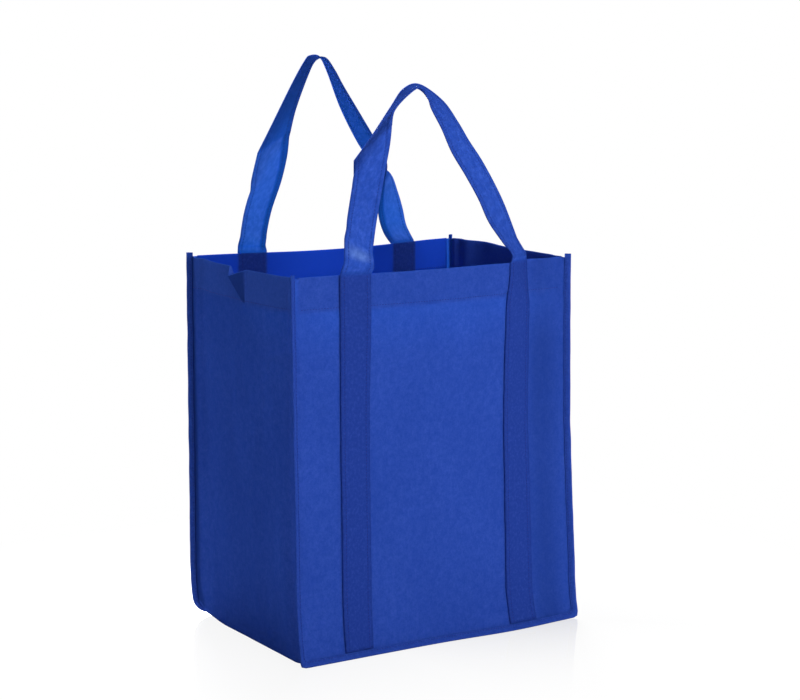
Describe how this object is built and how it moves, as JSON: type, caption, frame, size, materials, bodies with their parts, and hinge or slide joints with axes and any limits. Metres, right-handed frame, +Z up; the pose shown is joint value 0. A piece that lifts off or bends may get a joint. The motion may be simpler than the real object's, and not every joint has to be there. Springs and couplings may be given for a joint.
{
  "type": "shopping tote bag",
  "caption": "Open-topped square-based cloth shopping tote with gusseted sides, taped edges, hemmed mouth, base board and long handle straps sewn up the front and back.",
  "frame": {"origin": "on the floor, at the middle of the flat underside of the base", "axes": "+Z up through the open mouth, +X along the wide front panel, -Y out of the front panel"},
  "size_m": [0.3631, 0.2556, 0.586],
  "materials": {
    "panel_cloth": "spunbonded non-woven polypropylene with a fine embossed dot, matte with a soft sheen",
    "gusset_cloth": "the same non-woven cloth on the sides and the base",
    "binding_tape": "folded non-woven tape over the seams, stitched through",
    "handle_strap": "folded non-woven strap, stitched along both edges",
    "board": "plain matte"
  },
  "bodies": {
    "root": {"front_panel": "panel_cloth", "back_panel": "panel_cloth", "gusset_strip": "gusset_cloth", "front_binding": "binding_tape", "back_binding": "binding_tape", "front_handle": "handle_strap", "back_handle": "handle_strap", "base_board": "board"}
  },
  "joints": []
}
